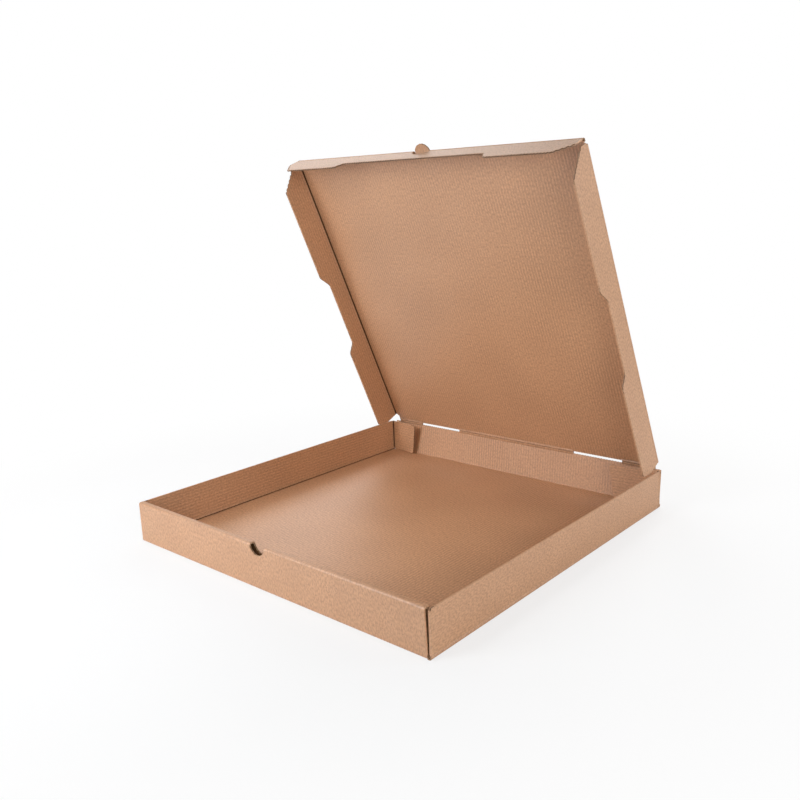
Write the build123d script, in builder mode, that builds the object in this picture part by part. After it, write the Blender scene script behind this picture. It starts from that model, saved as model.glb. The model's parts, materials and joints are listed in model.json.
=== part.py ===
from build123d import *
import math
import os

os.makedirs("parts", exist_ok=True)

# Board and creases, millimetres
board = 1.6
half_board = board / 2
flute_pitch = 3.4
crease_gap = 0.3
layer_gap = 0.2
fold_radius = 1.0
crush_reach = 3.0
crush_root = 1.05
crush_left = 0.2

# Tray
box_width = 380.0
box_depth = 380.0
wall_height = 40.0
half_width = box_width / 2
half_depth = box_depth / 2
roll_play = 1.6
side_front = half_depth - board - layer_gap - roll_play
side_back_gap = 2.1
side_back = half_depth - side_back_gap
back_foot = half_depth - half_board
back_inset = 0.4
back_half = half_width - back_inset
back_lean = 5.0

# Rolled front wall
front_inset = 2.1
front_shift = -0.9
inner_inset = 4.4
front_half = half_width - front_inset
front_left = front_shift - front_half
front_right = front_shift + front_half
inner_half = half_width - inner_inset
roll_depth = 3 * board + 2 * layer_gap + roll_play
inner_foot = board + 0.3
corner_tab_length = 50.0
corner_tab_bottom = 2.2
corner_tab_top = wall_height - 2.0
lock_spacing = half_width
lock_length = 42.0
lock_play = 0.4
notch_radius = 10.2
notch_rise = 1.2
notch_offset = -5.5

# Lid hinge along the top of the back wall
lid_clearance = 0.3
hinge_gap = 0.5
hinge_y = back_foot + back_lean
hinge_z = wall_height + lid_clearance + half_board
slit_inner = 82.0
slit_outer = 143.0
slit_in_wall = 0.9
slit_in_lid = 1.4
relief_in_wall = 1.0
relief_in_lid = 7.0
lid_open = 66.0

# Lid panel and its tongue
lid_side_play = 3.0
lid_setback = 10.0
hinge_inset = 5.5
lid_width = box_width - 2 * lid_side_play
lid_length = box_depth - lid_setback
hinge_half = lid_width / 2 - hinge_inset
side_axis = lid_width / 2 - half_board
front_axis = lid_length - half_board
tongue_radius = 10.0
tongue_reach = 7.5
tongue_play = 1.0

# Flaps at the lid's sides
flap_depth = wall_height - 5.5
flap_recess = flap_depth - 9.5
flap_back_root = 4.0
flap_back_kink = 1.2
flap_back_clear = 8.8
flap_back_bend = 19.0
flap_back_tip = 15.5
flap_front = lid_length - 3.6
flap_chamfer_depth = 12.5
flap_chamfer_tip = flap_front - 20.9
recess_start = 127.5
recess_length = 106.5
recess_back_run = 9.5
recess_front_run = 14.5
recess_back_out = recess_start
recess_back_in = recess_back_out + recess_back_run
recess_front_out = recess_back_out + recess_length
recess_front_in = recess_front_out - recess_front_run

# Flap at the lid's front
front_flap_fold = 87.0
front_flap_inset = 2.6
front_flap_half = lid_width / 2 - front_flap_inset
front_flap_depth = wall_height - 5.0
front_flap_recess = front_flap_depth - 10.5
front_chamfer_depth = 18.5
front_chamfer_width = 13.9
front_chamfer_tip = front_flap_half - front_chamfer_width
front_step_out = 97.5
front_step_in = 92.0

# Cut teeth where a slanting edge crosses the flutes
tooth_depth = 1.3

# Rounding of the die-cut outlines
step_radius = 4.0
tip_radius = 2.5

# Loose tabs at the back corners
tab_axis_inset = 0.8
tab_bead = 0.5
tab_axis_x = half_width - board - tab_axis_inset
tab_axis_y = back_foot - half_board - crease_gap - board
tab_bottom = 2.3
tab_top = wall_height - 0.5
tab_taper = 5.0
left_tab_length = 42.0
right_tab_length = 54.0
left_tab_swing = 8.0
right_tab_swing = 6.0

# Directions in the open lid
open_angle = math.radians(lid_open)
along_lid = Vector(0, -math.cos(open_angle), math.sin(open_angle))
out_of_lid = Vector(0, math.sin(open_angle), math.cos(open_angle))
hinge_point = Vector(0, hinge_y, hinge_z)
lid_plane = Plane(origin=hinge_point, x_dir=(1, 0, 0), z_dir=out_of_lid)


def toothed(start, end, across):
    """Points of a slanting cut edge, with one notch for each flute it crosses."""
    count = max(1, round(across / flute_pitch))
    run = Vector(end[0] - start[0], end[1] - start[1])
    inward = Vector(run.Y, -run.X).normalized() * tooth_depth
    points = [start]
    for tooth in range(count):
        low = start[0] + run.X * (tooth + 0.30) / count, start[1] + run.Y * (tooth + 0.30) / count
        mid = start[0] + run.X * (tooth + 0.50) / count, start[1] + run.Y * (tooth + 0.50) / count
        high = start[0] + run.X * (tooth + 0.70) / count, start[1] + run.Y * (tooth + 0.70) / count
        points += [low, (mid[0] + inward.X, mid[1] + inward.Y), high]
    points.append(end)
    return points


# Tray: base, two side walls, back wall and rolled front wall in one folded sheet
with BuildPart() as tray:
    # Base with cut corners and slots for the lock tabs
    with BuildSketch():
        with BuildLine():
            Polyline(
                (front_left, -half_depth),
                (front_right, -half_depth),
                (front_right, -side_front),
                (half_width, -side_front),
                (half_width, side_back),
                (back_half, side_back),
                (back_half, back_foot),
                (-back_half, back_foot),
                (-back_half, side_back),
                (-half_width, side_back),
                (-half_width, -side_front),
                (front_left, -side_front),
                close=True,
            )
        make_face()
        with Locations((0, -half_depth + roll_depth - half_board)):
            with GridLocations(lock_spacing, 1, 2, 1):
                Rectangle(lock_length + 2 * lock_play, board + 2 * lock_play, mode=Mode.SUBTRACT)
    extrude(amount=board)
    # Side walls
    with BuildSketch():
        with Locations((0, (side_back - side_front) / 2)):
            with GridLocations(box_width - board, 1, 2, 1):
                Rectangle(board, side_back + side_front)
    extrude(amount=wall_height)
    side_folds = tray.edges().filter_by(Axis.Y).filter_by(lambda e: abs(e.center().Z) < 0.01)
    side_folds = side_folds.filter_by(lambda e: abs(abs(e.center().X) - half_width) < 0.01)
    fillet(side_folds, radius=fold_radius)
    corner_folds = tray.edges().filter_by(Axis.Z)
    corner_folds = corner_folds.filter_by(lambda e: abs(abs(e.center().X) - half_width) < 0.01)
    corner_folds = corner_folds.filter_by(lambda e: abs(e.center().Y + side_front) < 0.01)
    fillet(corner_folds, radius=fold_radius)
    # Corner tabs of the side walls, held inside the rolled front
    with BuildSketch(Plane.XY.offset(corner_tab_bottom)):
        with Locations((0, -side_front + half_board)):
            with GridLocations(box_width - board - corner_tab_length, 1, 2, 1):
                Rectangle(corner_tab_length, board)
    extrude(amount=corner_tab_top - corner_tab_bottom)
    # Front wall: outer panel, top band and inner panel rolled from one strip
    with BuildSketch(Plane.YZ.offset(front_shift)):
        with BuildLine():
            Polyline(
                (-half_depth, 0),
                (-half_depth, wall_height),
                (-half_depth + roll_depth, wall_height),
                (-half_depth + roll_depth, wall_height - 2 * board),
                (-half_depth + roll_depth - board, wall_height - 2 * board),
                (-half_depth + roll_depth - board, wall_height - board),
                (-half_depth + board, wall_height - board),
                (-half_depth + board, 0),
                close=True,
            )
        strip = make_face()
        rolled = strip.vertices().filter_by(lambda v: abs(v.Y - wall_height) < 0.01)
        foot = strip.vertices().filter_by(lambda v: abs(v.Y) < 0.01 and abs(v.X + half_depth) < 0.01)
        fillet(rolled + foot, radius=fold_radius)
    extrude(amount=front_half, both=True)
    with BuildSketch(Plane.YZ):
        with Locations((-half_depth + roll_depth - half_board, (inner_foot + wall_height - 2 * board) / 2)):
            Rectangle(board, wall_height - 2 * board - inner_foot)
    extrude(amount=inner_half, both=True)
    # Lock tabs of the inner panel, standing in the base's slots
    with BuildSketch():
        with Locations((0, -half_depth + roll_depth - half_board)):
            with GridLocations(lock_spacing, 1, 2, 1):
                Rectangle(lock_length, board)
    extrude(amount=inner_foot + board)
    # Thumb notch through both panels of the rolled front
    with BuildSketch(Plane.XZ.offset(half_depth - roll_depth - 1)):
        with Locations((notch_offset, wall_height + notch_rise)):
            Circle(notch_radius)
    extrude(amount=roll_depth + 2, mode=Mode.SUBTRACT)
    # Back wall, leaning back a little, with a round crease at its foot and its top
    with BuildSketch(Plane.YZ):
        rise = Vector(hinge_y - back_foot, hinge_z - half_board).normalized()
        side = Vector(rise.Y, -rise.X) * half_board
        with BuildLine():
            Polyline(
                (back_foot + side.X, half_board + side.Y),
                (hinge_y + side.X, hinge_z + side.Y),
                (hinge_y - side.X, hinge_z - side.Y),
                (back_foot - side.X, half_board - side.Y),
                close=True,
            )
        make_face()
        with Locations((back_foot, half_board), (hinge_y, hinge_z)):
            Circle(half_board)
    extrude(amount=back_half, both=True)
    # Two slits in the hinge crease and the relief cuts at its ends
    with Locations((0, hinge_y, hinge_z + 5 - half_board - slit_in_wall)):
        with GridLocations(slit_inner + slit_outer, 1, 2, 1):
            Box(slit_outer - slit_inner, 6, 10, mode=Mode.SUBTRACT)
        with GridLocations(2 * hinge_half + 20, 1, 2, 1):
            with Locations((0, 0, slit_in_wall - relief_in_wall)):
                Box(20, 6, 10, mode=Mode.SUBTRACT)
tray.part.label = "tray"
export_step(tray.part, "parts/tray.step")

# Lid panel with the tongue that stays in its plane
with BuildPart() as lid_panel:
    with BuildSketch(lid_plane):
        with BuildLine():
            Polyline(
                (-hinge_half, 0),
                (hinge_half, 0),
                (hinge_half, -relief_in_lid),
                (side_axis, -relief_in_lid),
                (side_axis, -front_axis),
                (-side_axis, -front_axis),
                (-side_axis, -relief_in_lid),
                (-hinge_half, -relief_in_lid),
                close=True,
            )
        make_face()
        with GridLocations(slit_inner + slit_outer, 1, 2, 1):
            Rectangle(slit_outer - slit_inner, 2 * slit_in_lid, mode=Mode.SUBTRACT)
    extrude(amount=half_board, both=True)
    # Score grooves that clear the round creases
    hinge_start = hinge_point - Vector(half_width, 0, 0)
    with BuildSketch(Plane(origin=hinge_start, x_dir=(0, 1, 0), z_dir=(1, 0, 0))):
        Circle(half_board + hinge_gap)
    extrude(amount=box_width, mode=Mode.SUBTRACT)
    front_start = hinge_point + along_lid * front_axis - Vector(half_width, 0, 0)
    with BuildSketch(Plane(origin=front_start, x_dir=along_lid, z_dir=(1, 0, 0))):
        Circle(half_board + crease_gap)
        with BuildLine():
            Polyline(
                (-crush_root, crush_left),
                (-crush_reach, half_board + 0.01),
                (0, half_board + 0.01),
                (0, crush_left),
                close=True,
            )
        make_face()
    extrude(amount=box_width, mode=Mode.SUBTRACT)
    for hand in (-1, 1):
        side_start = hinge_point + Vector(hand * side_axis, 0, 0)
        with BuildSketch(Plane(origin=side_start, x_dir=(1, 0, 0), z_dir=along_lid)):
            Circle(half_board + crease_gap)
            with BuildLine():
                Polyline(
                    (-hand * crush_root, -crush_left),
                    (-hand * crush_reach, -half_board - 0.01),
                    (0, -half_board - 0.01),
                    (0, -crush_left),
                    close=True,
                )
            make_face()
        extrude(amount=lid_length + 1, mode=Mode.SUBTRACT)
    # Tongue
    with BuildSketch(lid_plane):
        with Locations((0, -(lid_length + tongue_reach - tongue_radius))):
            Circle(tongue_radius)
        with Locations((0, -lid_length + 5)):
            Rectangle(2 * tongue_radius, 10 - 2 * (tongue_radius - tongue_reach))
    extrude(amount=half_board, both=True)
lid_panel.part.label = "lid_panel"
export_step(lid_panel.part, "parts/lid_panel.step")

# Outline of a side flap, as distance along the lid and depth from the crease
flap_outline = [(-flap_back_root, 0), (-flap_back_root, -half_board), (-flap_back_clear, -flap_back_kink)]
flap_outline += [(-flap_back_clear, -flap_back_bend), (-flap_back_tip, -flap_depth)]
flap_outline += [(-recess_back_out, -flap_depth), (-recess_back_in, -flap_recess)]
flap_outline += [(-recess_front_in, -flap_recess), (-recess_front_out, -flap_depth)]
flap_outline += toothed(
    (-flap_chamfer_tip, -flap_depth), (-flap_front, -flap_chamfer_depth), flap_depth - flap_chamfer_depth
)
flap_outline += [(-flap_front, 0)]
recess_corners = (recess_front_out, recess_front_in, recess_back_in, recess_back_out)


def at_recess(corner):
    """True for the corners of a side flap's recess."""
    return min(abs(corner.X + place) for place in recess_corners) < 0.05


# Left flap of the lid
with BuildPart() as lid_left_flap:
    left_point = hinge_point - Vector(side_axis, 0, 0)
    with BuildSketch(Plane(origin=left_point, x_dir=along_lid * -1, z_dir=(1, 0, 0))):
        with BuildLine():
            Polyline(*flap_outline, close=True)
        left_sheet = make_face()
        fillet(left_sheet.vertices().filter_by(at_recess), radius=step_radius)
        left_tips = left_sheet.vertices().filter_by(lambda v: abs(v.X + flap_back_tip) < 0.05)
        fillet(left_tips, radius=tip_radius)
    extrude(amount=half_board, both=True)
    # Crushed board beside the crease
    with BuildSketch(Plane(origin=left_point, x_dir=(1, 0, 0), z_dir=along_lid)):
        with BuildLine():
            Polyline(
                (crush_left, 1),
                (crush_left, -crush_root),
                (half_board, -crush_reach),
                (board, -crush_reach),
                (board, 1),
                close=True,
            )
        make_face()
    extrude(amount=lid_length, mode=Mode.SUBTRACT)
    # Round crease
    left_root = left_point + along_lid * flap_back_root
    with BuildSketch(Plane(origin=left_root, x_dir=(1, 0, 0), z_dir=along_lid)):
        Circle(half_board)
    extrude(amount=flap_front - flap_back_root)
lid_left_flap.part.label = "lid_left_flap"
export_step(lid_left_flap.part, "parts/lid_left_flap.step")

# Right flap of the lid
with BuildPart() as lid_right_flap:
    right_point = hinge_point + Vector(side_axis, 0, 0)
    with BuildSketch(Plane(origin=right_point, x_dir=along_lid * -1, z_dir=(1, 0, 0))):
        with BuildLine():
            Polyline(*flap_outline, close=True)
        right_sheet = make_face()
        fillet(right_sheet.vertices().filter_by(at_recess), radius=step_radius)
        right_tips = right_sheet.vertices().filter_by(lambda v: abs(v.X + flap_back_tip) < 0.05)
        fillet(right_tips, radius=tip_radius)
    extrude(amount=half_board, both=True)
    # Crushed board beside the crease
    with BuildSketch(Plane(origin=right_point, x_dir=(1, 0, 0), z_dir=along_lid)):
        with BuildLine():
            Polyline(
                (-crush_left, 1),
                (-crush_left, -crush_root),
                (-half_board, -crush_reach),
                (-board, -crush_reach),
                (-board, 1),
                close=True,
            )
        make_face()
    extrude(amount=lid_length, mode=Mode.SUBTRACT)
    # Round crease
    right_root = right_point + along_lid * flap_back_root
    with BuildSketch(Plane(origin=right_root, x_dir=(1, 0, 0), z_dir=along_lid)):
        Circle(half_board)
    extrude(amount=flap_front - flap_back_root)
lid_right_flap.part.label = "lid_right_flap"
export_step(lid_right_flap.part, "parts/lid_right_flap.step")

# Front flap of the lid, with the hole that the tongue leaves
fold_angle = math.radians(front_flap_fold)
front_point = hinge_point + along_lid * front_axis
along_front = along_lid * math.cos(fold_angle) - out_of_lid * math.sin(fold_angle)
out_of_front = out_of_lid * math.cos(fold_angle) + along_lid * math.sin(fold_angle)
tongue_centre = lid_length + tongue_reach - tongue_radius - front_axis
hole_radius = tongue_radius + tongue_play
front_outline = [(-front_flap_half, 0), (front_flap_half, 0)]
front_outline += toothed(
    (front_flap_half, -front_chamfer_depth), (front_chamfer_tip, -front_flap_depth), front_chamfer_width
)
front_outline += [(front_step_out, -front_flap_depth), (front_step_in, -front_flap_recess)]
front_outline += [(-front_step_in, -front_flap_recess), (-front_step_out, -front_flap_depth)]
front_outline += toothed(
    (-front_chamfer_tip, -front_flap_depth), (-front_flap_half, -front_chamfer_depth), front_chamfer_width
)
with BuildPart() as lid_front_flap:
    with BuildSketch(Plane(origin=front_point, x_dir=(1, 0, 0), z_dir=out_of_front)):
        with BuildLine():
            Polyline(*front_outline, close=True)
        front_sheet = make_face()
        front_steps = front_sheet.vertices().filter_by(lambda v: abs(v.X) < front_step_out + 0.05)
        fillet(front_steps, radius=step_radius)
        with Locations((0, -tongue_centre)):
            Circle(hole_radius, mode=Mode.SUBTRACT)
    extrude(amount=half_board, both=True)
    # Crushed board beside the crease
    flap_start = front_point - Vector(half_width, 0, 0)
    with BuildSketch(Plane(origin=flap_start, x_dir=along_front, z_dir=(1, 0, 0))):
        with BuildLine():
            Polyline(
                (-1, crush_left),
                (crush_root, crush_left),
                (crush_reach, half_board),
                (crush_reach, board),
                (-1, board),
                close=True,
            )
        make_face()
    extrude(amount=box_width, mode=Mode.SUBTRACT)
    # Round crease on both sides of the tongue
    for start in (-front_flap_half, hole_radius):
        bead_start = front_point + Vector(start, 0, 0)
        with BuildSketch(Plane(origin=bead_start, x_dir=along_front, z_dir=(1, 0, 0))):
            Circle(half_board)
        extrude(amount=front_flap_half - hole_radius)
lid_front_flap.part.label = "lid_front_flap"
export_step(lid_front_flap.part, "parts/lid_front_flap.step")

# Loose tab at the back of the left side wall
left_swing = math.radians(left_tab_swing)
left_run = Vector(math.cos(left_swing), -math.sin(left_swing), 0)
left_face = Vector(-math.sin(left_swing), -math.cos(left_swing), 0)
with BuildPart() as back_left_tab:
    with BuildSketch(Plane(origin=(-tab_axis_x, tab_axis_y, 0), x_dir=left_run, z_dir=left_face)):
        with BuildLine():
            Polyline(
                (0, tab_bottom),
                (left_tab_length - tab_taper, tab_bottom),
                (left_tab_length, tab_top),
                (0, tab_top),
                close=True,
            )
        left_tab = make_face()
        left_free = left_tab.vertices().filter_by(lambda v: v.X > left_tab_length - tab_taper - 0.05)
        fillet(left_free, radius=tip_radius)
    extrude(amount=-board)
    with BuildSketch(Plane.XY.offset(tab_bottom)):
        with Locations((-tab_axis_x, tab_axis_y)):
            Circle(tab_bead)
    extrude(amount=tab_top - tab_bottom)
back_left_tab.part.label = "back_left_tab"
export_step(back_left_tab.part, "parts/back_left_tab.step")

# Loose tab at the back of the right side wall
right_swing = math.radians(right_tab_swing)
right_run = Vector(-math.cos(right_swing), -math.sin(right_swing), 0)
right_face = Vector(-math.sin(right_swing), math.cos(right_swing), 0)
with BuildPart() as back_right_tab:
    with BuildSketch(Plane(origin=(tab_axis_x, tab_axis_y, 0), x_dir=right_run, z_dir=right_face)):
        with BuildLine():
            Polyline(
                (0, tab_bottom),
                (right_tab_length - tab_taper, tab_bottom),
                (right_tab_length, tab_top),
                (0, tab_top),
                close=True,
            )
        right_tab = make_face()
        right_free = right_tab.vertices().filter_by(lambda v: v.X > right_tab_length - tab_taper - 0.05)
        fillet(right_free, radius=tip_radius)
    extrude(amount=board)
    with BuildSketch(Plane.XY.offset(tab_bottom)):
        with Locations((tab_axis_x, tab_axis_y)):
            Circle(tab_bead)
    extrude(amount=tab_top - tab_bottom)
back_right_tab.part.label = "back_right_tab"
export_step(back_right_tab.part, "parts/back_right_tab.step")
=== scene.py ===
import json
import math

import bpy
from mathutils import Matrix, Vector


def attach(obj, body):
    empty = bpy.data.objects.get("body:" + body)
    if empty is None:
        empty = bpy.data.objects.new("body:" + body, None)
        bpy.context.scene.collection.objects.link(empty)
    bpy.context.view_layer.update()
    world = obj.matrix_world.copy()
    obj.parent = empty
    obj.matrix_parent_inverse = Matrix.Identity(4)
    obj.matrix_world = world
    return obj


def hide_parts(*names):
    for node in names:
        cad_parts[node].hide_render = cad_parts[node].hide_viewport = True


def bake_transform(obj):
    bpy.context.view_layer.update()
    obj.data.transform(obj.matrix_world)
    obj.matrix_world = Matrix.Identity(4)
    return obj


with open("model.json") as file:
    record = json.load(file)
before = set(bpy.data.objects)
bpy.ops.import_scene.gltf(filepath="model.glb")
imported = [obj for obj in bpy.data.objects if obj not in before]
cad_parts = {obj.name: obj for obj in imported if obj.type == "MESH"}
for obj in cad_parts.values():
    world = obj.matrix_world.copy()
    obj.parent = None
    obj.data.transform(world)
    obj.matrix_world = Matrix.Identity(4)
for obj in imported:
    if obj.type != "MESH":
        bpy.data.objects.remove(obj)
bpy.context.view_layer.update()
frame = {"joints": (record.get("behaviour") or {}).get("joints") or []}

# Corrugated board, millimetres
mm = 0.001
board = 1.6
half = board / 2
liner = 0.28
core = half - liner
medium = 0.2
flute_pitch = 3.4
flute_steps = 6
column_step = flute_pitch / flute_steps
column_clear = column_step / 5
washboard = 0.03
inner_washboard = 0.08
flute_recess = 4.0
groove_depth = 0.35
serration = 0.35
flap_serration = 3.2
tooth_depth = 1.9
front_tooth_depth = 4.5
touch = 0.001

# Folds: reach of the bent zone beside a crease, size of the bend, and half widths of score grooves
reach = 3.0
bend = 1.3
bend_steps = 8
bend_margin = 0.3
station_flutes = 6
score_depth = 0.9
flap_score = 1.3
wall_score = 0.7
hinge_score = 0.25

# Tray
half_width = 190.0
half_depth = 190.0
wall_height = 40.0
roll_depth = 6.8
roll_margin = 0.5
foot_margin = 0.2
side_front = 186.6
side_back = 187.9
front_left = -188.8
front_right = 186.4
front_lean = -1.6
inner_half = 185.6
inner_foot = 1.9
lock_centre = 95.0
lock_half = 21.0
lock_play = 0.4
lock_lift = 0.1
corner_tab = 50.0
corner_tab_top = 38.0
nose_front = 189.2
notch_radius = 10.2
notch_trim = 0.2
notch_rise = 1.2
notch_offset = -4.0
notch_steps = 36
back_half = 188.0
slit_inner = 82.0
slit_outer = 143.0
slit_in_wall = 1.7
slit_in_lid = 1.4
hinge_half = 181.5
relief_in_wall = 1.8
relief_in_lid = 7.0
tab_bottom = 2.3
tab_top = 39.5
tab_taper = 5.0
left_tab_length = 42.0
right_tab_length = 54.0
left_tab_swing = 8.0
right_tab_swing = 6.0

# Lid
tongue_radius = 10.0
tongue_centre = 367.5
tongue_play = 1.0
tongue_steps = 48
hole_steps = 32
flap_depth = 34.5
flap_recess = 25.0
flap_back_clear = 8.8
flap_back_bend = 19.0
flap_back_tip = 15.5
flap_front = 366.4
flap_fold_end = 363.9
flap_chamfer_depth = 12.5
flap_chamfer_tip = 345.5
recess_back_out = 127.5
recess_back_in = 137.0
recess_front_in = 219.5
recess_front_out = 234.0
front_fold = 87.0
front_flap_half = 184.4
front_flap_depth = 35.0
front_flap_recess = 24.5
front_chamfer_depth = 18.5
front_chamfer_tip = 170.5
front_step_out = 97.5
front_step_in = 92.0
step_radius = 4.0
tip_radius = 2.5
corner_steps = 6

# Paper: scale, stretch and visible range of its patterns, per metre, and the depth of its grain in metres
cloud_scale = 28
cloud_range = (0.35, 0.65)
cloud_dark = 0.2
fibre_scale = 480
fibre_stretch = (1.4, 0.8, 1)
fibre_range = (0.4, 0.7)
fleck_scale = 620
fleck_stretch = (1, 0.8, 1)
fleck_range = (0.735, 0.77)
# Painted shade in the flute valleys of the inner liner: scale and range of its patchiness
valley_shade_scale = 14
valley_shade_range = (0.2, 0.75)
grain_scale = 900
grain_stretch = (1.3, 0.8, 1)
grain_strength = 0.2
liner_grain = 0.00006
edge_grain = 0.0001
paper_roughness = 0.5
paper_gloss = 1.0

# Joints of the frame, in millimetres
joints = {joint["name"]: joint for joint in frame["joints"]}
hinge = Vector(joints["lid_hinge"]["pos_m"]) / mm
side_axis = joints["right_flap_fold"]["pos_m"][0] / mm
along_lid = Vector(joints["right_flap_fold"]["axis"])
across = Vector((1, 0, 0))
upward = Vector((0, 0, 1))
into_lid = across.cross(along_lid)
front_axis = (Vector(joints["front_flap_fold"]["pos_m"]) / mm - hinge).dot(along_lid)
front_turn = math.radians(front_fold)
along_front = along_lid * math.cos(front_turn) + into_lid * math.sin(front_turn)

# Kinds of face, in the order of a piece's materials; the flute kind is the fluted sheet, darkened partly as
# painted shade, and the painted shade kind is shade painted into crease valleys and the inside of the roll
skin_kind, rim_kind, flute_and_shade_kind, painted_shade_kind, inner_kind = range(5)


class Piece:
    """Points, faces and face kinds of one piece of board, collected before its mesh is made."""

    def __init__(self):
        self.points = []
        self.flat = []
        self.faces = []
        self.kinds = []

    def point(self, place, flat):
        self.points.append(place * mm)
        self.flat.append((flat[0] * mm, flat[1] * mm))
        return len(self.points) - 1

    def face(self, corners, kind, flip=False):
        self.faces.append(corners[::-1] if flip else corners)
        self.kinds.append(kind)

    def finish(self, name):
        """Makes the object, with the flat blank's coordinates as its UV map."""
        mesh = bpy.data.meshes.new(name)
        mesh.from_pydata(self.points, [], self.faces)
        layer = mesh.uv_layers.new(name="blank")
        for loop in mesh.loops:
            layer.data[loop.index].uv = self.flat[loop.vertex_index]
        for material in (kraft, cut_edge, fluting_and_shade, painted_shade, inner_kraft):
            mesh.materials.append(material)
        mesh.polygons.foreach_set("material_index", self.kinds)
        mesh.polygons.foreach_set("use_smooth", [kind in (skin_kind, inner_kind) for kind in self.kinds])
        cut = {key for face in mesh.polygons if not face.use_smooth for key in face.edge_keys}
        mesh.edges.foreach_set("use_edge_sharp", [edge.key in cut for edge in mesh.edges])
        made = bpy.data.objects.new(name, mesh)
        bpy.context.scene.collection.objects.link(made)
        return made


def flat_place(origin, p_axis, q_axis):
    """Place of a flat sheet: p runs across the flutes, q along them, h through the board."""
    normal = p_axis.cross(q_axis)
    return lambda p, q, h: origin + p_axis * p + q_axis * q + normal * h


def on_folded_line(corners, lengths, q):
    """The place at a length along a folded line with round corners, and the way it runs there."""
    span = 0
    while span < len(corners) - 2 and q > lengths[span + 1]:
        span += 1
    for corner in range(1, len(corners) - 1):
        if abs(q - lengths[corner]) < bend:
            turn = (q - lengths[corner]) / (2 * bend) + 0.5
            before = (corners[corner] - corners[corner - 1]).normalized()
            after = (corners[corner + 1] - corners[corner]).normalized()
            place = corners[corner] - before * bend * (1 - turn) ** 2 + after * bend * turn**2
            return place, before.lerp(after, turn).normalized()
    way = (corners[span + 1] - corners[span]).normalized()
    return corners[span] + way * (q - lengths[span]), way


def folded_place(corners, p_axis):
    """Place of a sheet whose flutes follow a folded line, and the length along it of each corner."""
    lengths = [0.0]
    for before, after in zip(corners, corners[1:]):
        lengths.append(lengths[-1] + (after - before).length)

    def place(p, q, h):
        middle, way = on_folded_line(corners, lengths, q)
        return middle + p_axis * p + p_axis.cross(way) * h

    return place, lengths


def bend_lines(lengths):
    """Lengths at which a folded sheet is divided, so that its corners are round and its panels flat."""
    lines = []
    for length in lengths[1:-1]:
        lines += [length + bend * (2 * step / bend_steps - 1) for step in range(bend_steps + 1)]
        lines += [length - bend - bend_margin, length + bend + bend_margin]
    return sorted(lines)


def ripple(p):
    """The wave of the flutes across the sheet, 1 on a crest and -1 in a valley."""
    return math.cos(2 * math.pi * p / flute_pitch)


def on_flute(length):
    """The nearest place on the grid of columns, so that the ripple stays even beside a cut."""
    return round(length / column_step) * column_step


def on_fold(length, folds):
    """Whether an edge lies on a fold, where the board goes on instead of ending in a cut."""
    return any(abs(length - fold) < touch for fold in folds)


def arc(centre, radius, start, end, steps):
    """Points of an arc from one angle to another, in degrees."""
    turns = [math.radians(start + (end - start) * step / steps) for step in range(steps + 1)]
    return [(centre[0] + radius * math.cos(turn), centre[1] + radius * math.sin(turn)) for turn in turns]


def rounded(points, radii):
    """The outline with the corners that have a radius rounded off."""
    outline = []
    count = len(points)
    for place, (corner, radius) in enumerate(zip(points, radii)):
        if not radius:
            outline.append(corner)
            continue
        here = Vector(corner)
        before = (Vector(points[place - 1]) - here).normalized()
        after = (Vector(points[(place + 1) % count]) - here).normalized()
        cut = radius / math.tan(before.angle(after) / 2)
        for step in range(corner_steps + 1):
            turn = step / corner_steps
            spot = here + before * cut * (1 - turn) ** 2 + after * cut * turn**2
            outline.append((spot.x, spot.y))
    return outline


def toothed(start, end, deep=tooth_depth):
    """Points of a slanting cut edge, with one notch for each flute it crosses."""
    count = max(1, round(abs(end[0] - start[0]) / flute_pitch))
    points = [start]
    for tooth in range(count):
        for share, depth in ((0.25, 0), (0.5, deep), (0.75, 0)):
            turn = (tooth + share) / count
            spot = [a + (b - a) * turn for a, b in zip(start, end)]
            points.append((spot[0], spot[1] - depth))
    return points + [end]


def mirrored(points):
    """The points on the other side of the middle line, in the order that closes an outline."""
    return [(-p, q) for p, q in reversed(points)]


def crossings(outlines, p, side):
    """Where the line at p, seen from one side of it, crosses the outlines."""
    found = []
    for outline in outlines:
        for (p0, q0), (p1, q1) in zip(outline, outline[1:] + outline[:1]):
            low, high = min(p0, p1), max(p0, p1)
            crossed = low <= p < high if side > 0 else low < p <= high
            if crossed:
                found.append(q0 + (q1 - q0) * (p - p0) / (p1 - p0))
    return sorted(found)


def fixed_columns(outlines):
    """Where columns have to stand: at edges along the flutes and where an outline turns back."""
    marks = set()
    for outline in outlines:
        for before, here, after in zip(outline[-1:] + outline[:-1], outline, outline[1:] + outline[:1]):
            if (here[0] - before[0]) * (after[0] - here[0]) <= 0:
                marks.add(here[0])
    return marks


def only_in(first, second):
    """Stretches that the first list of spans covers and the second doesn't."""
    marks = sorted(set(first) | set(second))
    stretches = []
    for low, high in zip(marks, marks[1:]):
        middle = (low + high) / 2
        inside = [sum(mark < middle for mark in spans) % 2 for spans in (first, second)]
        if inside == [1, 0]:
            stretches.append((low, high))
    return stretches


def patches(left_row, right_row):
    """Parts of a row's two sides that bound one face each: a quad, or triangles where marks differ."""
    if len(left_row) == len(right_row) == 2:
        return [(left_row, right_row)]
    parts = []
    left, right = 0, 0
    while left < len(left_row) - 1 or right < len(right_row) - 1:
        next_left = left_row[left + 1] if left < len(left_row) - 1 else math.inf
        next_right = right_row[right + 1] if right < len(right_row) - 1 else math.inf
        left_end = left + (next_left <= next_right)
        right_end = right + (next_right <= next_left)
        parts.append((left_row[left : left_end + 1], right_row[right : right_end + 1]))
        left, right = left_end, right_end
    return parts


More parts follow.
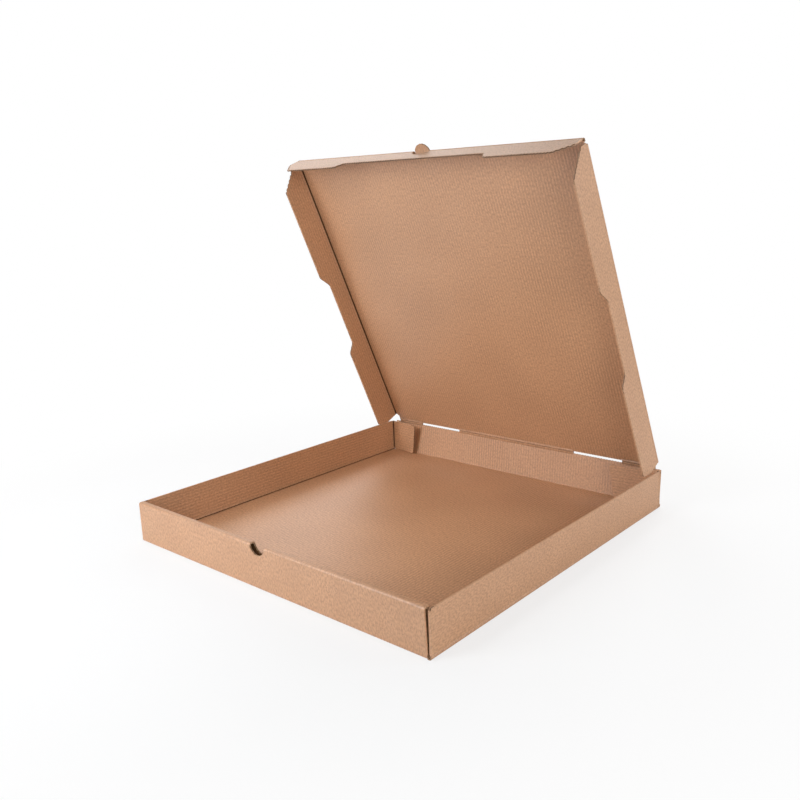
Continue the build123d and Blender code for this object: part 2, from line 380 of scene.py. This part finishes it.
class Sheet:
    """A sheet of corrugated board: rippled liners, and at cut edges the fluted sheet between them."""

    def __init__(self, piece, outlines, place, inner=1, folds_p=(), folds_q=(), lines=()):
        self.piece = piece
        self.outlines = [[(round(p, 4), round(q, 4)) for p, q in outline] for outline in outlines]
        self.place = place
        self.inner = inner
        self.folds_p = folds_p
        self.folds_q = folds_q
        self.lines = lines
        self.teeth = serration
        # Below this length the inner liner gets painted shade; none by default
        self.painted_shade_below = -math.inf
        self.known = {}

    def point(self, p, q, h):
        key = (round(p, 4), round(q, 4), round(h, 4))
        if key not in self.known:
            self.known[key] = self.piece.point(self.place(p, q, h), (p, q))
        return self.known[key]

    def skin(self, p, hand):
        """Height of a liner's face, which sinks a little between the flutes."""
        depth = inner_washboard if hand == self.inner else washboard
        return hand * (half - depth * (1 - ripple(p)))

    def ends(self, p, side):
        """Ends of the sheet on the line at p, with the small scallops of a cut across the flutes."""
        found = []
        for order, q in enumerate(crossings(self.outlines, p, side)):
            inward = 1 if order % 2 == 0 else -1
            if not on_fold(q, self.folds_q):
                q += inward * self.teeth * (0.5 + 0.5 * ripple(p))
            found.append(round(q, 4))
        return found

    def columns(self):
        """Places across the flutes at which the sheet is divided."""
        fixed = fixed_columns(self.outlines)
        first, last = math.ceil(min(fixed) / column_step), math.floor(max(fixed) / column_step)
        grid = [round(column_step * count, 4) for count in range(first, last + 1)]
        return sorted(fixed | {p for p in grid if min(abs(p - mark) for mark in fixed) > column_clear})

    def cut_end(self, p, q, inward):
        """Section through a cut across the flutes, from one liner to the other."""
        wave = (core - medium / 2) * ripple(p)
        deep = q + inward * flute_recess
        upper, lower = wave + medium / 2, wave - medium / 2
        heights = [(q, self.skin(p, 1)), (q, core), (deep, core), (deep, upper), (q, upper)]
        heights += [(q, lower), (deep, lower), (deep, -core), (q, -core), (q, self.skin(p, -1))]
        return [self.point(p, at, h) for at, h in heights]

    def cut_side(self, p, q, inward):
        """Section through a cut along the flutes, which the die pinches almost shut."""
        deep = p + inward * groove_depth
        heights = [(p, self.skin(p, 1)), (p, core), (deep, core)]
        heights += [(deep, -core), (p, -core), (p, self.skin(p, -1))]
        return [self.point(at, q, h) for at, h in heights]

    def plain(self, p, q, inward):
        """Section through a fold, where another sheet goes on."""
        return [self.point(p, q, self.skin(p, 1)), self.point(p, q, self.skin(p, -1))]

    def edge(self, section, first, second, inward, flip):
        """Faces of an edge between two places on it."""
        near, far = section(*first, inward), section(*second, inward)
        last = len(near) - 2
        for step in range(last + 1):
            corners = [near[step + 1], far[step + 1], far[step], near[step]]
            # Inner faces of a cut end take the fluted sheet material, darkened partly as painted shade
            pale = step in (0, last) or section == self.cut_side
            self.piece.face(corners, rim_kind if pale else flute_and_shade_kind, flip)

    def with_marks(self, low, high, marks):
        """The two ends of a row's side with the marks and lines that lie between them."""
        return [low] + sorted({q for q in [*marks, *self.lines] if low < q < high}) + [high]

    def patch(self, p0, p1, left_side, right_side):
        """One patch of both liners between two columns; inside the roll the inner liner is painted dark as
        shade.
        """
        for hand in (1, -1):
            corners = [self.point(p1, q, self.skin(p1, hand)) for q in right_side]
            corners += [self.point(p0, q, self.skin(p0, hand)) for q in reversed(left_side)]
            kind = inner_kind if hand == self.inner else skin_kind
            # Inside the roll the inner liner takes painted shade, for the dark hollow seen through the
            # notch
            if kind == inner_kind and left_side[-1] < self.painted_shade_below:
                kind = painted_shade_kind
            self.piece.face(corners, kind, hand < 0)

    def liners(self, p0, p1, left, right, left_marks, right_marks):
        """Both liners of one span between two columns, divided at the lines across it."""
        floor = max(left[0], right[0]) + touch
        ceiling = min(left[1], right[1]) - touch
        divisions = [line for line in self.lines if floor < line < ceiling]
        rows_left = [left[0]] + divisions + [left[1]]
        rows_right = [right[0]] + divisions + [right[1]]
        for row in range(len(divisions) + 1):
            left_row = self.with_marks(*rows_left[row : row + 2], left_marks)
            right_row = self.with_marks(*rows_right[row : row + 2], right_marks)
            for left_side, right_side in patches(left_row, right_row):
                self.patch(p0, p1, left_side, right_side)

    def ends_of_span(self, p0, p1, left, right):
        """The two edges across the flutes of one span between two columns."""
        for order, inward in ((0, 1), (1, -1)):
            folded = on_fold(left[order], self.folds_q) and on_fold(right[order], self.folds_q)
            section = self.plain if folded else self.cut_end
            self.edge(section, (p0, left[order]), (p1, right[order]), inward, inward < 0)

    def sides(self, p, spans, outward):
        """Edges along the flutes at one column."""
        section = self.plain if on_fold(p, self.folds_p) else self.cut_side
        for low, high in spans:
            rows = self.with_marks(low, high, ())
            for start, end in zip(rows, rows[1:]):
                self.edge(section, (p, start), (p, end), -outward, outward < 0)

    def build(self):
        columns = self.columns()
        before = {p: self.ends(p, -1) for p in columns}
        after = {p: self.ends(p, 1) for p in columns}
        for p0, p1 in zip(columns, columns[1:]):
            for span in range(0, len(after[p0]), 2):
                left, right = after[p0][span : span + 2], before[p1][span : span + 2]
                self.liners(p0, p1, left, right, before[p0], after[p1])
                self.ends_of_span(p0, p1, left, right)
        for p in columns:
            self.sides(p, only_in(before[p], after[p]), 1)
            self.sides(p, only_in(after[p], before[p]), -1)


def fold_section(corner, axis, to_a, to_b, score_half):
    """Section through a bent strip of board, and the numbers of its edges that form the score groove."""
    inner_way = (to_a + to_b).normalized()
    outer = []
    for share in range(-1, bend_steps + 2):
        turn = min(max(share / bend_steps, 0), 1)
        place = corner + to_a * bend * (1 - turn) ** 2 + to_b * bend * turn**2
        place = corner + to_a * reach if share < 0 else place
        place = corner + to_b * reach if share > bend_steps else place
        normal = axis.cross((-to_a).lerp(to_b, turn).normalized())
        normal *= -1 if normal.dot(inner_way) > 0 else 1
        outer.append(place + normal * half)
    half_turn = (math.pi - to_a.angle(to_b)) / 2
    lip = half * math.tan(half_turn) + score_half
    inner = []
    for way in (to_b, to_a):
        side = (inner_way - way * inner_way.dot(way)).normalized()
        face = [corner + way * length + side * half for length in (reach, lip)]
        inner += face if way is to_b else face[::-1]
    valley = corner + inner_way * (half / math.cos(half_turn) - score_depth)
    return outer + inner[:2] + [valley] + inner[2:], (len(outer) + 1, len(outer) + 2)


def runs_backwards(section, corner, axis):
    """Whether the points of a section go clockwise round the axis."""
    spin = Vector((0, 0, 0))
    for spot, after in zip(section, section[1:] + section[:1]):
        spin += (spot - corner).cross(after - corner)
    return spin.dot(axis) < 0


def fold_strip(piece, corner, axis, start, end, to_a, to_b, score_half):
    """Adds the bent strip of board between two sheets that meet at a crease, with its score groove, whose
    valley faces carry painted shade.
    """
    section, scored = fold_section(corner, axis, to_a, to_b, score_half)
    flip = runs_backwards(section, corner, axis)
    stations = max(1, round((end - start) / (flute_pitch * station_flutes)))
    rows = []
    for station in range(stations + 1):
        along = start + (end - start) * station / stations
        places = enumerate(section)
        rows.append([piece.point(spot + axis * along, (along, order)) for order, spot in places])
    count = len(section)
    for low, high in zip(rows, rows[1:]):
        for order in range(count):
            after = (order + 1) % count
            corners = [low[order], low[after], high[after], high[order]]
            # The groove's valley faces get the painted shade material
            piece.face(corners, painted_shade_kind if order in scored else skin_kind, flip)
    piece.face(rows[0], flute_and_shade_kind, not flip)
    piece.face(rows[-1], flute_and_shade_kind, flip)


def blend_fold(strip):
    """Bakes a fold strip's placement into its mesh; the strip stays fixed and is not attached to a body."""
    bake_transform(strip)


class PaperNodes:
    """The nodes of one paper's material, with a method for each kind that it needs."""

    def __init__(self, tree):
        self.nodes = tree.nodes
        self.links = tree.links
        blank = tree.nodes.new("ShaderNodeUVMap")
        blank.uv_map = "blank"
        self.flat = blank.outputs["UV"]

    def feed(self, socket, value):
        """Links a socket to a node's output, or sets its constant value."""
        if isinstance(value, bpy.types.NodeSocket):
            self.links.new(value, socket)
        else:
            socket.default_value = value

    def noise(self, scale, detail, stretch=(1, 1, 1)):
        mapping = self.nodes.new("ShaderNodeMapping")
        mapping.inputs["Scale"].default_value = stretch
        self.feed(mapping.inputs["Vector"], self.flat)
        texture = self.nodes.new("ShaderNodeTexNoise")
        texture.inputs["Scale"].default_value = scale
        texture.inputs["Detail"].default_value = detail
        self.feed(texture.inputs["Vector"], mapping.outputs["Vector"])
        return texture.outputs["Fac"]

    def ramp(self, value, low, high):
        node = self.nodes.new("ShaderNodeMapRange")
        node.inputs["From Min"].default_value = low
        node.inputs["From Max"].default_value = high
        self.feed(node.inputs["Value"], value)
        return node.outputs["Result"]

    def arithmetic(self, operation, *values):
        node = self.nodes.new("ShaderNodeMath")
        node.operation = operation
        for order, value in enumerate(values):
            self.feed(node.inputs[order], value)
        return node.outputs["Value"]

    def mix(self, factor, first, second):
        """A mix of two colours."""
        node = self.nodes.new("ShaderNodeMix")
        node.data_type = "RGBA"
        self.feed(node.inputs["Factor"], factor)
        self.feed(node.inputs[6], first)
        self.feed(node.inputs[7], second)
        return node.outputs[2]

    def valley_shaded(self, colour, dark, strength):
        """The colour with painted shade in the valleys between the flutes, as darker stripes that come and
        go.
        """
        split = self.nodes.new("ShaderNodeSeparateXYZ")
        self.feed(split.inputs["Vector"], self.flat)
        phase = self.arithmetic("MULTIPLY", split.outputs["X"], 2 * math.pi / (flute_pitch * mm))
        valley = self.ramp(self.arithmetic("COSINE", phase), 1, -1)
        share = self.arithmetic("MULTIPLY", self.ramp(self.noise(valley_shade_scale, 2), *valley_shade_range), strength)
        return self.mix(self.arithmetic("MULTIPLY", valley, share), colour, dark)

    def bump(self, height, depth):
        node = self.nodes.new("ShaderNodeBump")
        node.inputs["Strength"].default_value = grain_strength
        node.inputs["Distance"].default_value = depth
        self.feed(node.inputs["Height"], height)
        return node.outputs["Normal"]


def kraft_paper(name, pale, dark, fleck, depth, gloss=paper_gloss, valley_shade=0.0):
    """Brown paper: clouded tone, fibres, small dark flecks, painted shade stripes in the flute valleys
    where asked, and a fine grain.
    """
    material = bpy.data.materials.new(name)
    material.use_nodes = True
    shader = material.node_tree.nodes["Principled BSDF"]
    shader.inputs["Roughness"].default_value = paper_roughness
    shader.inputs["Specular IOR Level"].default_value = gloss
    paper = PaperNodes(material.node_tree)
    middle = [(1 - cloud_dark) * a + cloud_dark * b for a, b in zip(pale, dark)]
    clouds = paper.ramp(paper.noise(cloud_scale, 4), *cloud_range)
    fibres = paper.ramp(paper.noise(fibre_scale, 4, fibre_stretch), *fibre_range)
    flecks = paper.ramp(paper.noise(fleck_scale, 1, fleck_stretch), *fleck_range)
    colour = paper.mix(clouds, (*middle, 1), (*pale, 1))
    colour = paper.mix(fibres, colour, (*dark, 1))
    colour = paper.mix(flecks, colour, (*fleck, 1))
    if valley_shade:
        # Painted shade in the flute valleys, in the flecks' dark brown
        colour = paper.valley_shaded(colour, (*fleck, 1), valley_shade)
    paper.feed(shader.inputs["Base Color"], colour)
    paper.feed(shader.inputs["Normal"], paper.bump(paper.noise(grain_scale, 4, grain_stretch), depth))
    return material


kraft = kraft_paper(
    "kraft_liner",
    pale=(0.58, 0.316, 0.168),
    dark=(0.37, 0.191, 0.0955),
    fleck=(0.19, 0.09, 0.04),
    depth=liner_grain,
)
# Inner liner: paler kraft with painted shade stripes in its flute valleys
inner_kraft = kraft_paper(
    "inner_liner",
    pale=(0.645, 0.351, 0.185),
    dark=(0.41, 0.212, 0.105),
    fleck=(0.19, 0.09, 0.04),
    depth=liner_grain,
    valley_shade=0.45,
)
cut_edge = kraft_paper(
    "cut_edge",
    pale=(0.67, 0.42, 0.25),
    dark=(0.53, 0.3, 0.165),
    fleck=(0.3, 0.155, 0.075),
    depth=edge_grain,
)
# Fluted sheet between the liners: partly its own brown, made darker than the liners as painted shade of the
# open flutes at cut edges and fold ends
fluting_and_shade = kraft_paper(
    "fluted_sheet_and_shade",
    pale=(0.3, 0.17, 0.088),
    dark=(0.22, 0.12, 0.06),
    fleck=(0.12, 0.063, 0.03),
    depth=edge_grain,
    gloss=0.3,
)
# Painted shade: near-black paper for the valleys of the crease grooves and the inside of the roll, where
# shade falls
painted_shade = kraft_paper(
    "painted_shade_paper",
    pale=(0.14, 0.07, 0.031),
    dark=(0.09, 0.043, 0.018),
    fleck=(0.05, 0.026, 0.013),
    depth=edge_grain,
    gloss=0.1,
)

# Cuts that stand on the grid of columns
lock_ends = on_flute(lock_centre - lock_half), on_flute(lock_centre + lock_half)
slit_ends = on_flute(slit_inner), on_flute(slit_outer)
hinge_end = on_flute(hinge_half)
fold_edge = half_width - half - reach


def tray_line():
    """The folded line of the rolled front, the base and the back wall, seen from the side."""
    front_out = -half_depth + half
    front_in = -half_depth + roll_depth - half
    return [
        Vector((0, front_in, inner_foot)),
        Vector((0, front_in, wall_height - half)),
        Vector((0, front_out, wall_height - half)),
        Vector((0, front_out, half)),
        Vector((0, half_depth - half, half)),
        hinge.copy(),
    ]


def floor_outline(roll_in, front_foot, back_foot, top):
    """Outline of the strip from the foot of the inner front panel to the hinge."""
    corner_front = front_foot + half_depth - half - side_front
    corner_back = back_foot - (half_depth - half - side_back)
    roll_foot = roll_in - bend - roll_margin
    crest = top - reach
    inner_side = [
        (lock_ends[0], 0),
        (lock_ends[0], -inner_foot + lock_lift),
        (lock_ends[1], -inner_foot + lock_lift),
        (lock_ends[1], 0),
        (inner_half, 0),
        (inner_half, roll_foot),
    ]
    back_side = [
        (fold_edge, corner_front),
        (fold_edge, corner_back),
        (back_half, corner_back),
        (back_half, top - relief_in_wall),
        (hinge_end, top - relief_in_wall),
        (hinge_end, crest),
        (slit_ends[1], crest),
        (slit_ends[1], top - slit_in_wall),
        (slit_ends[0], top - slit_in_wall),
        (slit_ends[0], crest),
    ]
    right_side = inner_side + [(front_right, roll_foot), (front_right, corner_front)] + back_side
    left_side = inner_side + [(-front_left, roll_foot), (-front_left, corner_front)] + back_side
    return right_side + mirrored(left_side)


def thumb_notch(roll_in, roll_out):
    """Outline of the notch through both layers of the rolled front and the fold between them."""
    middle = on_flute(notch_offset)
    start = math.degrees(math.acos(on_flute(notch_radius - notch_trim) / notch_radius))
    inner_centre = middle, roll_in + notch_rise + half
    outer_centre = middle, roll_out - notch_rise - half
    inner_notch = arc(inner_centre, notch_radius, -start, start - 180, notch_steps)
    return inner_notch + arc(outer_centre, notch_radius, 180 - start, start, notch_steps)


def lock_slot(front_foot, hand):
    """Outline of a slot in the base that takes a lock tab of the inner front panel."""
    low = front_foot + roll_depth - board - half - lock_play
    high = low + board + 2 * lock_play
    near, far = hand * lock_ends[0], hand * lock_ends[1]
    return [(near, low), (far, low), (far, high), (near, high)]


def tray_floor(piece):
    """Rolled front wall, base and back wall: one strip of board with its folds across the flutes."""
    upright, lengths = folded_place(tray_line(), across)
    roll_in, roll_out, front_foot, back_foot, top = lengths[1:]

    def place(p, q, h):
        """The rolled front stands a little askew, as the folded board does."""
        spot = upright(p, q, h)
        askew = front_lean * spot.z / wall_height if q < front_foot else 0
        return spot + across * askew

    outlines = [floor_outline(roll_in, front_foot, back_foot, top), thumb_notch(roll_in, roll_out)]
    outlines += [lock_slot(front_foot, hand) for hand in (-1, 1)]
    folds_p, folds_q = (-fold_edge, fold_edge), (top - reach,)
    sheet = Sheet(piece, outlines, place, folds_p=folds_p, folds_q=folds_q, lines=bend_lines(lengths))
    # Up to here the inner liner inside the roll is painted dark as shade
    sheet.painted_shade_below = front_foot - bend - foot_margin
    sheet.build()


def tray_side(piece, hand, tab_corner):
    """A side wall with the corner tab that turns into the rolled front, and its fold at the base."""
    wall, tab_line = half_width - half, side_front - half
    line = [Vector((hand * wall, side_back, 0))]
    if hand > 0:
        line.append(Vector((wall, -nose_front, 0)))
        line.append(Vector((wall - nose_front + tab_line, -tab_line, 0)))
    else:
        line.append(Vector((-wall, -tab_line, 0)))
    line.append(Vector((hand * (wall - corner_tab), -tab_line, 0)))
    place, lengths = folded_place(line, upward)
    fold_line = side_back - tab_corner.y + reach
    foot = half + reach
    outline = [
        (foot, fold_line),
        (wall_height, fold_line),
        (wall_height, lengths[1] - bend),
        (corner_tab_top, lengths[1] - bend),
        (corner_tab_top, lengths[-1]),
        (foot, lengths[-1]),
    ]
    lines = bend_lines(lengths)
    Sheet(piece, [outline], place, inner=-hand, folds_p=(foot,), folds_q=(fold_line,), lines=lines).build()
    fold = Vector((hand * wall, 0, half))
    along = Vector((0, 1, 0))
    front_end = -nose_front - half / 2 if hand > 0 else -side_front
    fold_strip(piece, fold, along, front_end, side_back, across * -hand, upward, wall_score)


def tab_place(hand, swing):
    """Where a back tab meets its side wall, the way it runs, and how far from there its joint is."""
    name = "left_tab_fold" if hand < 0 else "right_tab_fold"
    turn = math.radians(swing)
    run = Vector((-hand * math.cos(turn), -math.sin(turn), 0))
    behind = Vector((-hand * math.sin(turn), math.cos(turn), 0))
    axis = Vector(joints[name]["pos_m"]) / mm
    start = Vector((axis.x, axis.y, 0)) + behind * half
    wall = hand * (half_width - half)
    corner = start + run * ((wall - start.x) / run.x)
    return corner, run, (start - corner).length


def back_tab(name, node, hand, swing, length):
    """A loose tab at the back end of a side wall, and the fold that joins it to the wall."""
    corner, run, root = tab_place(hand, swing)
    tip = root + length
    piece = Piece()
    corners = [(tab_bottom, reach), (tab_bottom, tip - tab_taper), (tab_top, tip), (tab_top, reach)]
    outline = rounded(corners, [0, tip_radius, tip_radius, 0])
    Sheet(piece, [outline], flat_place(corner, upward, run), inner=hand, folds_q=(reach,)).build()
    made = piece.finish(name)
    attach(made, name)
    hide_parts(node)
    strip = Piece()
    to_wall = Vector((0, -1, 0))
    fold_strip(strip, corner, upward, tab_bottom, tab_top, to_wall, run, flap_score)
    blend_fold(strip.finish(name + "_fold"))


def make_tray():
    piece = Piece()
    tray_floor(piece)
    for hand, swing in ((-1, left_tab_swing), (1, right_tab_swing)):
        tray_side(piece, hand, tab_place(hand, swing)[0])
    made = piece.finish("box_tray")
    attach(made, "tray")
    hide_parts("tray")


def make_lid():
    """The lid's panel with its tongue."""
    edge = side_axis - reach
    front = front_axis - reach
    tongue_half = on_flute(tongue_radius) - column_step
    right_side = [
        (slit_ends[0], reach),
        (slit_ends[0], slit_in_lid),
        (slit_ends[1], slit_in_lid),
        (slit_ends[1], reach),
        (hinge_end, reach),
        (hinge_end, relief_in_lid),
        (edge, relief_in_lid),
        (edge, front),
        (tongue_half, front),
    ]
    tongue = arc((0, tongue_centre), tongue_half, 0, 180, tongue_steps)
    outline = right_side + tongue + mirrored(right_side)
    piece = Piece()
    place = flat_place(hinge, across, along_lid)
    Sheet(piece, [outline], place, folds_p=(-edge, edge), folds_q=(reach, front)).build()
    made = piece.finish("box_lid")
    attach(made, "lid")
    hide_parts("lid_panel")


def make_hinge():
    """The folds along the hinge, between the slits."""
    strip = Piece()
    to_wall = (Vector((0, half_depth - half, half)) - hinge).normalized()
    for start, end in ((-hinge_half, -slit_outer), (-slit_inner, slit_inner), (slit_outer, hinge_half)):
        fold_strip(strip, hinge, across, start, end, to_wall, along_lid, hinge_score)
    blend_fold(strip.finish("hinge_fold"))


def side_flap_outline():
    """Outline of a side flap: toothed slant in front, recess in the middle, short slant behind."""
    deep = on_flute(flap_recess)
    corners = [(reach, flap_front)]
    corners += toothed((flap_chamfer_depth, flap_front), (flap_depth, flap_chamfer_tip))
    radii = [0] * len(corners)
    corners += [(flap_depth, recess_front_out), (deep, recess_front_in)]
    corners += [(deep, recess_back_in), (flap_depth, recess_back_out)]
    radii += [step_radius] * 4
    corners += [(flap_depth, flap_back_tip), (flap_back_bend, flap_back_clear), (reach, flap_back_clear)]
    radii += [tip_radius, 0, 0]
    return rounded(corners, radii)


def make_side_flap(name, node, hand):
    """A notched flap at the lid's side, and its fold."""
    origin = hinge + across * hand * side_axis
    piece = Piece()
    place = flat_place(origin, into_lid, along_lid)
    Sheet(piece, [side_flap_outline()], place, inner=hand, folds_p=(reach,)).build()
    made = piece.finish(name)
    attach(made, name)
    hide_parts(node)
    strip = Piece()
    to_lid = across * -hand
    fold_strip(strip, origin, along_lid, flap_back_clear, flap_fold_end, to_lid, into_lid, flap_score)
    blend_fold(strip.finish(name + "_fold"))


def front_flap_outline(hole_radius):
    """Outline of the front flap: recess in the middle, toothed slants, and the hole for the tongue."""
    hole_centre = tongue_centre - front_axis
    start = math.degrees(math.asin((reach - hole_centre) / hole_radius))
    hole = arc((0, hole_centre), hole_radius, start, 180 - start, hole_steps)
    hole[0], hole[-1] = (hole[0][0], reach), (hole[-1][0], reach)
    slant = (front_chamfer_tip, front_flap_depth), (front_flap_half, front_chamfer_depth)
    right_side = toothed(*slant, front_tooth_depth) + [(front_flap_half, reach)]
    corners = [(-front_step_out, front_flap_depth), (-front_step_in, front_flap_recess)]
    corners += [(front_step_in, front_flap_recess), (front_step_out, front_flap_depth)]
    radii = [step_radius] * len(corners)
    corners += right_side + hole + mirrored(right_side)
    radii += [0] * (len(corners) - len(radii))
    return rounded(corners, radii)


def make_front_flap():
    """The notched flap at the lid's front, and its folds beside the tongue."""
    origin = hinge + along_lid * front_axis
    hole_radius = tongue_radius + tongue_play
    piece = Piece()
    place = flat_place(origin, across, along_front)
    sheet = Sheet(piece, [front_flap_outline(hole_radius)], place, folds_q=(reach,))
    sheet.teeth = flap_serration
    sheet.build()
    made = piece.finish("front_flap")
    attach(made, "front_flap")
    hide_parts("lid_front_flap")
    strip = Piece()
    to_lid = -along_lid
    for low, high in ((-front_flap_half, -hole_radius), (hole_radius, front_flap_half)):
        fold_strip(strip, origin, across, low, high, to_lid, along_front, flap_score)
    blend_fold(strip.finish("front_flap_fold"))


make_tray()
make_lid()
make_hinge()
make_side_flap("left_flap", "lid_left_flap", -1)
make_side_flap("right_flap", "lid_right_flap", 1)
make_front_flap()
back_tab("left_tab", "back_left_tab", -1, left_tab_swing, left_tab_length)
back_tab("right_tab", "back_right_tab", 1, right_tab_swing, right_tab_length)

# Camera, from the photograph's perspective
image_size = 800
focal_pixels = 854.9
centre_pixel = (427.6, 330.4)
camera_place = Vector((0.5675, -0.6244, 0.3329))
camera_azimuth = math.radians(40.412)
camera_elevation = math.radians(8.877)
camera_roll = math.radians(-1.992)

# Floor, metres: its half size, and the distances from the middle between which the shadow fades to white
floor_half = 6.0
floor_colour = (0.8, 0.8, 0.8, 1)
floor_roughness = 0.9
floor_gloss = 0.1
shadow_start = 0.22
shadow_end = 0.6
shadow_white = 0.72
soft_light = 0.02


def make_camera():
    data = bpy.data.cameras.new("camera")
    data.sensor_width = 36
    data.lens = focal_pixels / image_size * data.sensor_width
    data.shift_x = (image_size / 2 - centre_pixel[0]) / image_size
    data.shift_y = (centre_pixel[1] - image_size / 2) / image_size
    data.clip_start = 0.01
    flat_right = Vector((math.cos(camera_azimuth), math.sin(camera_azimuth), 0))
    back = flat_right.cross(upward) * math.cos(camera_elevation) + upward * math.sin(camera_elevation)
    flat_up = back.cross(flat_right)
    right = flat_right * math.cos(camera_roll) + flat_up * math.sin(camera_roll)
    up = back.cross(right)
    made = bpy.data.objects.new("camera", data)
    bpy.context.scene.collection.objects.link(made)
    made.matrix_world = Matrix.Translation(camera_place) @ Matrix((right, up, back)).transposed().to_4x4()
    bpy.context.scene.camera = made


def white_share(nodes, links):
    """How white the floor is to the camera: fully further out, and less close by."""
    place = nodes.new("ShaderNodeTexCoord")
    distance = nodes.new("ShaderNodeVectorMath")
    distance.operation = "LENGTH"
    links.new(place.outputs["Object"], distance.inputs[0])
    fade = nodes.new("ShaderNodeMapRange")
    fade.interpolation_type = "SMOOTHSTEP"
    fade.inputs["From Min"].default_value = shadow_start
    fade.inputs["From Max"].default_value = shadow_end
    fade.inputs["To Min"].default_value = shadow_white
    links.new(distance.outputs["Value"], fade.inputs["Value"])
    path = nodes.new("ShaderNodeLightPath")
    share = nodes.new("ShaderNodeMath")
    share.operation = "MULTIPLY"
    links.new(path.outputs["Is Camera Ray"], share.inputs[0])
    links.new(fade.outputs["Result"], share.inputs[1])
    return share.outputs["Value"]


def floor_material():
    """Pale floor that is white to the camera further out and takes the box's shadow close by."""
    material = bpy.data.materials.new("floor")
    material.use_nodes = True
    nodes, links = material.node_tree.nodes, material.node_tree.links
    shader = nodes["Principled BSDF"]
    shader.inputs["Base Color"].default_value = floor_colour
    shader.inputs["Roughness"].default_value = floor_roughness
    shader.inputs["Specular IOR Level"].default_value = floor_gloss
    glow = nodes.new("ShaderNodeEmission")
    glow.inputs["Strength"].default_value = 1.0
    mix = nodes.new("ShaderNodeMixShader")
    links.new(white_share(nodes, links), mix.inputs["Fac"])
    links.new(shader.outputs["BSDF"], mix.inputs[1])
    links.new(glow.outputs["Emission"], mix.inputs[2])
    links.new(mix.outputs["Shader"], nodes["Material Output"].inputs["Surface"])
    return material


def make_floor():
    mesh = bpy.data.meshes.new("floor")
    corners = [(x * floor_half, y * floor_half, 0) for x, y in ((-1, -1), (1, -1), (1, 1), (-1, 1))]
    mesh.from_pydata(corners, [], [(0, 1, 2, 3)])
    mesh.materials.append(floor_material())
    floor = bpy.data.objects.new("floor", mesh)
    bpy.context.scene.collection.objects.link(floor)


def make_world():
    """Soft pale surroundings, plain white where the camera sees them."""
    world = bpy.data.worlds.new("studio")
    bpy.context.scene.world = world
    world.use_nodes = True
    nodes, links = world.node_tree.nodes, world.node_tree.links
    soft = nodes["Background"]
    soft.inputs["Strength"].default_value = soft_light
    soft.inputs["Color"].default_value = (1, 1, 1, 1)
    white = nodes.new("ShaderNodeBackground")
    white.inputs["Color"].default_value = (1, 1, 1, 1)
    path = nodes.new("ShaderNodeLightPath")
    mix = nodes.new("ShaderNodeMixShader")
    links.new(path.outputs["Is Camera Ray"], mix.inputs["Fac"])
    links.new(soft.outputs["Background"], mix.inputs[1])
    links.new(white.outputs["Background"], mix.inputs[2])
    links.new(mix.outputs["Shader"], nodes["World Output"].inputs["Surface"])


def make_lamp(name, place, size, power, aim=(0, 0, 0.1), spread=180, colour=(1, 1, 1)):
    """A square softbox that faces the box."""
    data = bpy.data.lights.new(name, "AREA")
    data.shape = "SQUARE"
    data.size = size
    data.energy = power
    data.spread = math.radians(spread)
    data.color = colour
    lamp = bpy.data.objects.new(name, data)
    bpy.context.scene.collection.objects.link(lamp)
    lamp.location = place
    lamp.visible_camera = False
    lamp.rotation_euler = (Vector(aim) - Vector(place)).to_track_quat("-Z", "Y").to_euler()


make_camera()
make_floor()
make_world()
make_lamp("left_light", (-0.5, -0.95, 0.42), size=0.4, power=4.7, colour=(0.97, 1.04, 1.15))
make_lamp("front_light", (-0.2, -0.8, 0.7), size=0.35, power=0.9, aim=(-0.1, -0.15, 0.05), spread=70)
make_lamp("right_light", (1.2, -0.6, 0.45), size=0.6, power=8.2)
make_lamp("right_back_light", (1.1, 0.7, 0.5), size=0.6, power=5.3)
make_lamp("back_light", (0, 1.0, 1.1), size=0.6, power=10.0)
make_lamp("left_back_light", (-1.3, 1.1, 1.2), size=1.0, power=11.0)
make_lamp("left_top_light", (-0.95, -0.1, 1.1), size=0.4, power=1.6)
make_lamp("top_light", (-0.4, 0, 1.25), size=0.4, power=1.2)

bpy.context.scene.view_settings.view_transform = "Standard"
